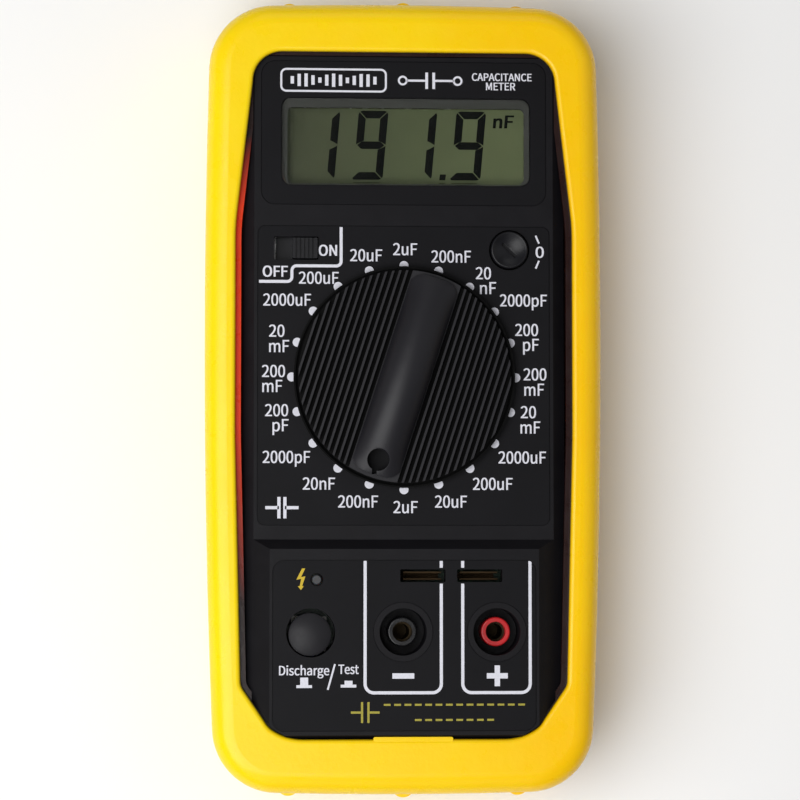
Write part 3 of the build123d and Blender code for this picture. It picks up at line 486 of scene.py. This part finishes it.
def stroke(path, width, closed=False):
    """Four-cornered pieces of a line of that width along a path."""
    path = [Vector(p) for p in path]
    count = len(path)
    sides = []
    for i, point in enumerate(path):
        ahead = path[(i + 1) % count] if closed or i + 1 < count else None
        behind = path[i - 1] if closed or i > 0 else None
        directions = []
        if behind is not None:
            directions.append((point - behind).normalized())
        if ahead is not None:
            directions.append((ahead - point).normalized())
        along = sum(directions, Vector((0, 0))).normalized()
        across = Vector((-along.y, along.x))
        spread = width / 2 / max(MITRE_LIMIT, across.dot(Vector((-directions[0].y, directions[0].x))))
        sides.append((point + across * spread, point - across * spread))
    outlines = []
    for i in range(count if closed else count - 1):
        (a, b), (c, d) = sides[i], sides[(i + 1) % count]
        outlines.append([tuple(a), tuple(b), tuple(d), tuple(c)])
    return outlines


def upright(x, y, half, line):
    """A vertical line that reaches half its length either side of y."""
    return stroke([(x, y - half), (x, y + half)], line)


def level(x, y, half, line):
    """A horizontal line that reaches half its length either side of x."""
    return stroke([(x - half, y), (x + half, y)], line)


def capacitor_sign(middle, half_gap, half_plate, lead_from, lead_to, plate_line, lead_line):
    """Two upright plates with a lead running out from each, sizes in mm."""
    outlines = []
    for side in (-1, 1):
        outlines += upright(middle.x + side * half_gap * MM, middle.y, half_plate * MM, plate_line * MM)
        lead = [(middle.x + side * reach * MM, middle.y) for reach in (lead_from, lead_to)]
        outlines += stroke(lead, lead_line * MM)
    return outlines


FONT_FILE = "/fonts/Noto Sans CJK Regular.woff2"
print_font = bpy.data.fonts.load(bpy.utils.system_resource("DATAFILES") + FONT_FILE)
SAME_POINT = 1e-7
BOLD_RISE = 0.45  # a bold stroke grows less up and down than sideways
COPY_STEP = 0.002 * MM  # keeps the faces of the copies apart


def lettering(name, text, x, y, height, width, z, material=white_ink, body="meter",
              lean=0.0, bold=0.055 * MM):
    """One word centred at (x, y), that high above its baseline and squeezed to the width asked for."""
    curve = bpy.data.curves.new(name, "FONT")
    curve.body = text
    curve.font = print_font
    curve.align_x = "CENTER"
    curve.resolution_u = 6
    probe = bpy.data.objects.new(name + "_probe", curve)
    scene.collection.objects.link(probe)
    bpy.context.view_layer.update()
    mesh = bpy.data.meshes.new_from_object(probe.evaluated_get(bpy.context.evaluated_depsgraph_get()))
    bpy.data.objects.remove(probe)
    low_x = min(v.co.x for v in mesh.vertices)
    high_x = max(v.co.x for v in mesh.vertices)
    high_y = max(v.co.y for v in mesh.vertices)
    scale_y = height / high_y
    scale_x = width / (high_x - low_x)
    for v in mesh.vertices:
        flat_y = (v.co.y - high_y / 2) * scale_y
        v.co.x = x + (v.co.x - (low_x + high_x) / 2) * scale_x + flat_y * lean
        v.co.y = y + flat_y
        v.co.z = z + INK_LIFT
    shape = bmesh.new()
    shape.from_mesh(mesh)
    bmesh.ops.remove_doubles(shape, verts=shape.verts, dist=SAME_POINT)
    # four copies a hair apart make the strokes bolder
    first = shape.verts[:] + shape.edges[:] + shape.faces[:]
    for step, (dx, dy) in enumerate(((1, -1), (-1, 1), (1, 1)), start=1):
        copy = bmesh.ops.duplicate(shape, geom=first)["geom"]
        shifted = [g for g in copy if isinstance(g, bmesh.types.BMVert)]
        bmesh.ops.translate(shape, verts=shifted, vec=(dx * bold, dy * bold * BOLD_RISE, step * COPY_STEP))
    kept = [g for g in first if isinstance(g, bmesh.types.BMVert)]
    bmesh.ops.translate(shape, verts=kept, vec=(-bold, -bold * BOLD_RISE, 0))
    grown = bmesh.ops.extrude_face_region(shape, geom=shape.faces[:])
    lifted = [g for g in grown["geom"] if isinstance(g, bmesh.types.BMVert)]
    bmesh.ops.translate(shape, verts=lifted, vec=(0, 0, INK))
    bmesh.ops.recalc_face_normals(shape, faces=shape.faces)
    shape.to_mesh(mesh)
    shape.free()
    piece = bpy.data.objects.new(name, mesh)
    scene.collection.objects.link(piece)
    mesh.materials.clear()
    mesh.materials.append(material)
    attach(piece, body)


# ---- Dial print: dots and range names --------------------------------------------------

# the dial's twenty dots, part of each under the knob's skirt
DOT_CIRCLE = 28.42 * MM
DOT_R = 1.15 * MM
RANGE_COUNT = 20
dots = []
for i in range(RANGE_COUNT):
    turn = math.tau * i / RANGE_COUNT
    dots.append(circle(dial.x + DOT_CIRCLE * math.sin(turn), dial.y + DOT_CIRCLE * math.cos(turn), DOT_R))
ink_piece("range_dots", dots, face_z, white_ink)

# range names clockwise from the top: each word with its place from the dial's centre, in mm
RANGE_WORD_HEIGHT = 3.05 * MM
RANGE_WORDS = [
    [("2uF", 0.3, 32.6)],
    [("200nF", 12.0, 30.8)],
    [("20", 20.2, 26.6), ("nF", 21.4, 22.8)],
    [("2000pF", 30.4, 19.7)],
    [("200", 31.2, 12.2), ("pF", 32.3, 8.4)],
    [("200", 33.3, 0.9), ("mF", 33.1, -3.0)],
    [("20", 31.6, -8.7), ("mF", 32.1, -12.6)],
    [("2000uF", 30.0, -20.2)],
    [("200uF", 22.5, -26.9)],
    [("20uF", 11.9, -31.4)],
    [("2uF", 0.4, -32.8)],
    [("200nF", -11.6, -31.4)],
    [("20nF", -21.5, -26.9)],
    [("2000pF", -29.7, -20.2)],
    [("200", -32.2, -8.4), ("pF", -31.2, -12.2)],
    [("200", -33.0, 1.5), ("mF", -33.3, -2.3)],
    [("20", -32.2, 11.7), ("mF", -31.6, 7.8)],
    [("2000uF", -29.6, 19.6)],
    [("200uF", -21.6, 25.2)],
    [("20uF", -9.6, 31.0)],
]
WORD_WIDTHS_MM = {"20": 3.8, "200": 5.75, "2uF": 6.05, "nF": 4.05, "pF": 3.95, "mF": 4.95,
                  "20uF": 8.05, "20nF": 8.05, "200uF": 10.0, "200nF": 10.0, "2000uF": 12.0, "2000pF": 11.9}
for i, words in enumerate(RANGE_WORDS):
    for k, (word, x, y) in enumerate(words):
        lettering(f"range_{i:02d}_{k}", word, dial.x + x * MM, dial.y + y * MM, RANGE_WORD_HEIGHT,
                  WORD_WIDTHS_MM[word] * MM, face_z)

# ---- Power switch print: ON, OFF and the stepped line between them ---------------------
SWITCH_WORD_HEIGHT = 2.75 * MM
SWITCH_BOLD = 0.09 * MM
lettering("print_on", "ON", -19.3 * MM, 37.0 * MM, SWITCH_WORD_HEIGHT, 4.5 * MM, face_z, bold=SWITCH_BOLD)
lettering("print_off", "OFF", -32.6 * MM, 31.6 * MM, SWITCH_WORD_HEIGHT, 6.2 * MM, face_z, bold=SWITCH_BOLD)
label_low, label_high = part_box("range_label")
STEP_RIGHT = -15.95 * MM
STEP_LEFT = -28.4 * MM
STEP_UPPER = 33.0 * MM
STEP_LOWER = 29.0 * MM
STEP_CORNER = 1.2 * MM
STEP_LINE = 0.75 * MM
STEP_MARGIN = 0.2 * MM  # from the line's ends to the label's edge
step_line = rounded(
    [(STEP_RIGHT, label_high.y - STEP_MARGIN), (STEP_RIGHT, STEP_UPPER), (STEP_LEFT, STEP_UPPER),
     (STEP_LEFT, STEP_LOWER), (label_low.x + STEP_MARGIN, STEP_LOWER)],
    STEP_CORNER,
)
ink_piece("print_step_line", stroke(step_line, STEP_LINE), face_z, white_ink)

# ---- Zero adjuster print: a nought with a tick above and below -------------------------
zero_x = zero.x + 7.8 * MM
zero_y = zero.y - 0.45 * MM
TICK_LINE = 0.45 * MM
lettering("print_zero", "0", zero_x, zero_y, 2.8 * MM, 2.0 * MM, face_z)
ticks = []
for side in (-1, 1):
    tick_near = (zero_x - 0.2 * MM, zero_y + side * 2.2 * MM)
    tick_far = (zero_x - 1.05 * MM, zero_y + side * 4.2 * MM)
    ticks += stroke([tick_far, tick_near], TICK_LINE)
ink_piece("print_zero_ticks", ticks, face_z, white_ink)

# ---- A generic capacitor symbol in the dial panel's lower corner -----------------------
symbol = capacitor_sign(Vector((-30.8 * MM, -28.2 * MM)), half_gap=0.75, half_plate=2.7,
                        lead_from=0.75, lead_to=4.2, plate_line=0.8, lead_line=0.8)
ink_piece("print_capacitor_symbol", symbol, face_z, white_ink)

# ---- Display label: plain outlined badge and the kind of instrument --------------------
display_label_z = top_of("display_label")
lettering("print_kind_upper", "CAPACITANCE", 25.0 * MM, 81.6 * MM, 1.9 * MM, 15.2 * MM, display_label_z)
lettering("print_kind_lower", "METER", 24.7 * MM, 79.2 * MM, 1.9 * MM, 7.4 * MM, display_label_z)
badge = Vector((-17.9 * MM, 80.4 * MM))
BADGE_SIZE = Vector((26.6 * MM, 5.6 * MM))
BADGE_CORNER = 1.3 * MM
BADGE_LINE = 0.5 * MM


def rounded_frame(middle, size, radius, steps=6):
    """Points of a closed rounded rectangle."""
    points = []
    for k, (sx, sy) in enumerate(((1, 1), (-1, 1), (-1, -1), (1, -1))):
        corner = Vector((middle.x + sx * (size.x / 2 - radius), middle.y + sy * (size.y / 2 - radius)))
        for i in range(steps + 1):
            turn = math.pi / 2 * (k + i / steps)
            points.append((corner.x + radius * math.cos(turn), corner.y + radius * math.sin(turn)))
    return points


badge_lines = stroke(rounded_frame(badge, BADGE_SIZE, BADGE_CORNER), BADGE_LINE, closed=True)
# a generic row of bars that grow and shrink, in place of any name
BARS = 13
BAR_PITCH = 1.75 * MM
BAR_LINE = 0.85 * MM
BAR_LOW = 0.55 * MM  # half the height of the lowest bar, and how much a swell adds to it
BAR_SWELL = 1.15 * MM
BAR_WAVE = 4.35  # bars from one swell to the next
for i in range(BARS):
    bar_x = badge.x + (i - (BARS - 1) / 2) * BAR_PITCH
    swell = abs(math.sin(math.pi * (i + 0.5) / BAR_WAVE))
    badge_lines += upright(bar_x, badge.y, BAR_LOW + BAR_SWELL * swell, BAR_LINE)
ink_piece("print_badge", badge_lines, display_label_z, white_ink)

# a generic capacitor between two round terminals stands beside the badge
emblem = Vector((6.7 * MM, 80.5 * MM))
TERMINAL_REACH = 7.0 * MM
TERMINAL_R = 1.0 * MM
TERMINAL_LINE = 0.5 * MM
emblem_lines = capacitor_sign(emblem, half_gap=0.9, half_plate=2.1, lead_from=1.25, lead_to=6.0,
                              plate_line=0.7, lead_line=0.55)
for side in (-1, 1):
    terminal = circle(emblem.x + side * TERMINAL_REACH, emblem.y, TERMINAL_R, 20)
    emblem_lines += stroke(terminal, TERMINAL_LINE, closed=True)
ink_piece("print_emblem", emblem_lines, display_label_z, white_ink)

# masking print just inside the window's back face, from near its edge to the opening over the panel
lens_low, lens_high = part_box("display_lens")
panel_mid = centre_of("lcd_panel")
MASK_Z = lens_low.z + 0.01 * MM
MASK_MARGIN = 0.5 * MM
MASK_CORNER = 2.1 * MM
OPENING = Vector((60.3, 19.1)) * MM
OPENING_CORNER = 1.4 * MM
lens_middle = (lens_low + lens_high) / 2
lens_size = lens_high - lens_low
mask_size = Vector((lens_size.x - MASK_MARGIN, lens_size.y - MASK_MARGIN))
outer = rounded_frame(lens_middle, mask_size, MASK_CORNER)
inner = rounded_frame(panel_mid, OPENING, OPENING_CORNER)
mask = []
for i in range(len(outer)):
    j = (i + 1) % len(outer)
    mask.append([outer[i], inner[i], inner[j], outer[j]])
ink_piece("window_mask", mask, MASK_Z, mask_ink)

# ---- Liquid crystal digits ----------------------------------------------------------------
LEAN = math.tan(math.radians(5))
DIGIT_H = 17.7 * MM
DIGIT_W = 7.6 * MM
SEGMENT = 1.95 * MM
SEGMENT_GAP = 0.16 * MM
DIGIT_Y = 64.3 * MM
SEGMENT_NAMES = {"1": "bc", "9": "abcdfg"}


def digit(character, left):
    """Seven-segment figure: outlines of its dark bars, slanted."""
    bars = []
    # width and height of the figure, thickness of a bar and half the gap between two
    w, h, t, g = DIGIT_W, DIGIT_H, SEGMENT, SEGMENT_GAP
    middle = h / 2
    half = t * 0.5
    nick = t * 0.12
    shoulder = t * 0.6
    point_in = t * 0.35
    shapes = {
        "a": [(half, h), (w - half, h), (w - nick - g, h - nick), (w - t - g, h - t), (t + g, h - t),
              (nick + g, h - nick)],
        "d": [(t * 0.7, t), (w - t - g, t), (w - nick - g, nick), (w - half, 0), (t * 0.1, 0),
              (-t * 0.1, t * 0.2)],
        "g": [(g * 2, middle), (t * 0.75, middle + half), (w - t * 0.75, middle + half), (w - g * 2, middle),
              (w - t * 0.75, middle - half), (t * 0.75, middle - half)],
        "b": [(w, h - half), (w, middle + g), (w - shoulder, middle + g + point_in),
              (w - t, middle + shoulder), (w - t, h - t - g), (w - nick, h - nick - g)],
        "c": [(w, middle - g), (w, half), (w - nick, nick + g), (w - t, t + g), (w - t, middle - shoulder),
              (w - shoulder, middle - g - point_in)],
        "f": [(0, middle + g), (0, h - half), (nick, h - nick - g), (t, h - t - g), (t, middle + shoulder),
              (shoulder, middle + g + point_in)],
    }
    for key in SEGMENT_NAMES[character]:
        outline = []
        for x, y in shapes[key]:
            outline.append((left + x + (y - h / 2) * LEAN, DIGIT_Y + y - h / 2))
        bars.append(outline)
    return bars


reading = []
for character, left in (("1", -24.4 * MM), ("9", -12.1 * MM), ("1", 0.4 * MM), ("9", 12.9 * MM)):
    reading += digit(character, left)
# the decimal point leans with the figures
POINT_HALF = 0.75 * MM
point = Vector((10.0 * MM, DIGIT_Y - DIGIT_H / 2 + POINT_HALF))
reading.append([(point.x - 0.8 * MM, point.y - POINT_HALF), (point.x + 0.75 * MM, point.y - POINT_HALF),
                (point.x + 0.95 * MM, point.y + POINT_HALF), (point.x - 0.6 * MM, point.y + POINT_HALF)])
ink_piece("lcd_digits", reading, lcd_z, segment_dark)
lettering("lcd_unit", "nF", 25.7 * MM, 70.6 * MM, 3.2 * MM, 4.9 * MM, lcd_z, segment_dark,
          lean=LEAN, bold=0.17 * MM)

# ---- Terminal panel print --------------------------------------------------------------
panel_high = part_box("terminal_label")[1]
FRAME_TOP = panel_high.y - 0.1 * MM
FRAME_FOOT = jack_minus.y - 15.2 * MM
FRAME_CORNER = 2.2 * MM
FRAME_LINE = 0.78 * MM
FRAME_UPRIGHT = 20 * MM  # every upright of a frame is longer, and nothing else in it is
SLOT_CLEAR = 2.0 * MM  # from a slot's middle line to the print above and below it
SAME_UPRIGHT = 1 * MM


def socket_frame(left, right_side):
    """White line from the panel's top edge, round under a socket and back up."""
    return rounded([(left, FRAME_TOP), (left, FRAME_FOOT), (right_side, FRAME_FOOT), (right_side, FRAME_TOP)],
                   FRAME_CORNER)


slot_low, slot_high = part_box("slot_contacts")
SLOT_Y = (slot_low.y + slot_high.y) / 2
minus_right = jack_minus.x + 9.6 * MM
plus_left = jack_plus.x - 8.6 * MM
minus_frame = socket_frame(jack_minus.x - 9.55 * MM, minus_right)
plus_frame = socket_frame(plus_left, jack_plus.x + 8.4 * MM)


def broken(path, low_y, high_y, crossed_x):
    """Pieces of a stroke, with a gap between two heights in the upright that crosses a slot."""
    kept = []
    for outline in stroke(path, FRAME_LINE):
        xs = [p[0] for p in outline]
        ys = [p[1] for p in outline]
        x0, x1, y0, y1 = min(xs), max(xs), min(ys), max(ys)
        if y1 - y0 > FRAME_UPRIGHT and abs(outline[0][0] - crossed_x) < SAME_UPRIGHT:
            kept.append([(x0, y0), (x1, y0), (x1, low_y), (x0, low_y)])
            kept.append([(x0, high_y), (x1, high_y), (x1, y1), (x0, y1)])
        else:
            kept.append(outline)
    return kept


frames = broken(minus_frame, SLOT_Y - SLOT_CLEAR, SLOT_Y + SLOT_CLEAR, minus_right)
frames += broken(plus_frame, SLOT_Y - SLOT_CLEAR, SLOT_Y + SLOT_CLEAR, plus_left)
ink_piece("print_socket_frames", frames, block_z, white_ink)

SIGN_Y = -70.4 * MM
SIGN_LINE = 1.35 * MM
plus_x = jack_plus.x + 0.1 * MM
minus_sign = level(jack_minus.x + 0.05 * MM, SIGN_Y, 2.75 * MM, SIGN_LINE)
plus_sign = level(plus_x, SIGN_Y, 2.65 * MM, SIGN_LINE)
# the plus sign's upper and lower arms start clear of its level one
for side in (-1, 1):
    arm = [(plus_x, SIGN_Y + side * reach * MM) for reach in (0.68, 2.6)]
    plus_sign += stroke(arm, SIGN_LINE)
ink_piece("print_minus", minus_sign, block_z, white_ink)
ink_piece("print_plus", plus_sign, block_z, white_ink)

# button print: two words, a slash and the two key symbols
SLASH_LINE = 0.45 * MM
lettering("print_discharge", "Discharge", -25.2 * MM, -68.9 * MM, 2.5 * MM, 12.5 * MM, block_z)
lettering("print_test", "Test", -14.1 * MM, -68.7 * MM, 2.3 * MM, 5.0 * MM, block_z)
slash = stroke([(-17.5 * MM, -67.4 * MM), (-19.3 * MM, -73.8 * MM)], SLASH_LINE)
ink_piece("print_slash", slash, block_z, white_ink)
KEY_BASE = 1.95 * MM  # half the base line's length
KEY_BASE_LINE = 0.7 * MM
KEY_CAP = 2.0 * MM


def key_symbol(x, base_y, cap_height):
    """Side view of a key: a cap standing on its base line."""
    cap_foot = base_y + KEY_BASE_LINE / 2
    outlines = level(x, base_y, KEY_BASE, KEY_BASE_LINE)
    outlines += stroke([(x, cap_foot), (x, cap_foot + cap_height)], KEY_CAP)
    return outlines


ink_piece("print_key_out", key_symbol(-25.2 * MM, -73.0 * MM, 1.9 * MM), block_z, white_ink)
ink_piece("print_key_in", key_symbol(-14.1 * MM, -72.9 * MM, 1.0 * MM), block_z, white_ink)

# charge symbol beside the lamp: a small arrow in a zigzag
bolt = Vector((lamp.x - 4.0 * MM, lamp.y + 0.1 * MM))
bolt_points = [(0.3, 2.7), (-1.1, -0.1), (0.1, 0.1), (-0.25, -1.7), (-0.75, -1.75), (0.05, -2.7),
               (0.75, -1.7), (0.35, -1.7), (1.15, 0.75), (0.05, 0.55), (1.1, 2.7)]
ink_piece("print_charge", [[(bolt.x + x * MM, bolt.y + y * MM) for x, y in bolt_points]], block_z, bolt_ink)

# a generic capacitor sign in olive and two rows of dashes along the panel's foot
foot_y = -79.5 * MM
olive = capacitor_sign(Vector((-9.9 * MM, foot_y)), half_gap=0.8, half_plate=2.6,
                       lead_from=1.05, lead_to=3.6, plate_line=0.55, lead_line=0.55)
DASH_ROWS_MM = ((1.9, 18.0), (-1.9, 10.6))  # height above foot_y and half the row's length
DASH_PITCH_MM = 2.6
DASH_HALF = 0.85 * MM
DASH_LINE = 0.5 * MM
DASH_MIDDLE = 12.5 * MM
for row, half in DASH_ROWS_MM:
    count = round(half * 2 / DASH_PITCH_MM)
    for i in range(count):
        dash_x = DASH_MIDDLE + (i - (count - 1) / 2) * DASH_PITCH_MM * MM
        olive += level(dash_x, foot_y + row * MM, DASH_HALF, DASH_LINE)
ink_piece("print_foot_line", olive, block_z, olive_ink)

# ---- Camera, light and floor -----------------------------------------------------------
# the camera is almost straight above the meter, a little left of its middle and towards its foot
EYE = Vector((-48, -45, 800)) * MM
AIM = Vector((0, 0, 18)) * MM
FOCAL_MM = 136.7
SENSOR_MM = 36.0
FAR_CLIP = 10.0
AMBIENT = 0.14
camera_data = bpy.data.cameras.new("camera")
camera_data.lens = FOCAL_MM
camera_data.sensor_width = SENSOR_MM
camera_data.clip_end = FAR_CLIP
camera = bpy.data.objects.new("camera", camera_data)
back = (EYE - AIM).normalized()
right = Vector((0, 1, 0)).cross(back).normalized()
camera.matrix_world = Matrix.Translation(EYE) @ Matrix((right, back.cross(right), back)).transposed().to_4x4()
scene.collection.objects.link(camera)
scene.camera = camera
scene.view_settings.view_transform = "Standard"

world = bpy.data.worlds.new("studio")
scene.world = world
world.use_nodes = True
world.node_tree.nodes["Background"].inputs["Color"].default_value = (1.0, 1.0, 1.0, 1)
world.node_tree.nodes["Background"].inputs["Strength"].default_value = AMBIENT

SUBJECT = Vector((0, 0, 0.02))


def softbox(name, place, size, power):
    """A rectangular area light that faces the meter, its size in metres and its power in watts."""
    data = bpy.data.lights.new(name, "AREA")
    data.shape = "RECTANGLE"
    data.size, data.size_y = size
    data.energy = power
    box = bpy.data.objects.new(name, data)
    box.location = place
    box.rotation_euler = (SUBJECT - Vector(place)).to_track_quat("-Z", "Y").to_euler()
    scene.collection.objects.link(box)


# the key light stands over the meter's left side and the other three only lift the shadows
softbox("key", (-0.42, -0.2, 0.8), (0.75, 0.85), 8.8)
softbox("fill", (0.9, 0.2, 0.7), (0.9, 1.2), 1.15)
softbox("top", (0.1, 1.0, 0.7), (0.9, 0.6), 1.2)
softbox("foot", (-0.2, -1.0, 0.7), (0.9, 0.6), 1.2)

FLOOR = 3.0
floor_mesh = bpy.data.meshes.new("floor")
floor_corners = [(-FLOOR, -FLOOR, 0), (FLOOR, -FLOOR, 0), (FLOOR, FLOOR, 0), (-FLOOR, FLOOR, 0)]
floor_mesh.from_pydata(floor_corners, [], [(0, 1, 2, 3)])
floor = bpy.data.objects.new("floor", floor_mesh)
scene.collection.objects.link(floor)
floor_paint = Paint("floor_white")
floor_shade = floor_paint.ramp(floor_paint.noise(300.0), [(0.93, 0.93, 0.93), (0.96, 0.96, 0.96)])
floor_mesh.materials.append(floor_paint.finish(floor_shade, Roughness=0.8))
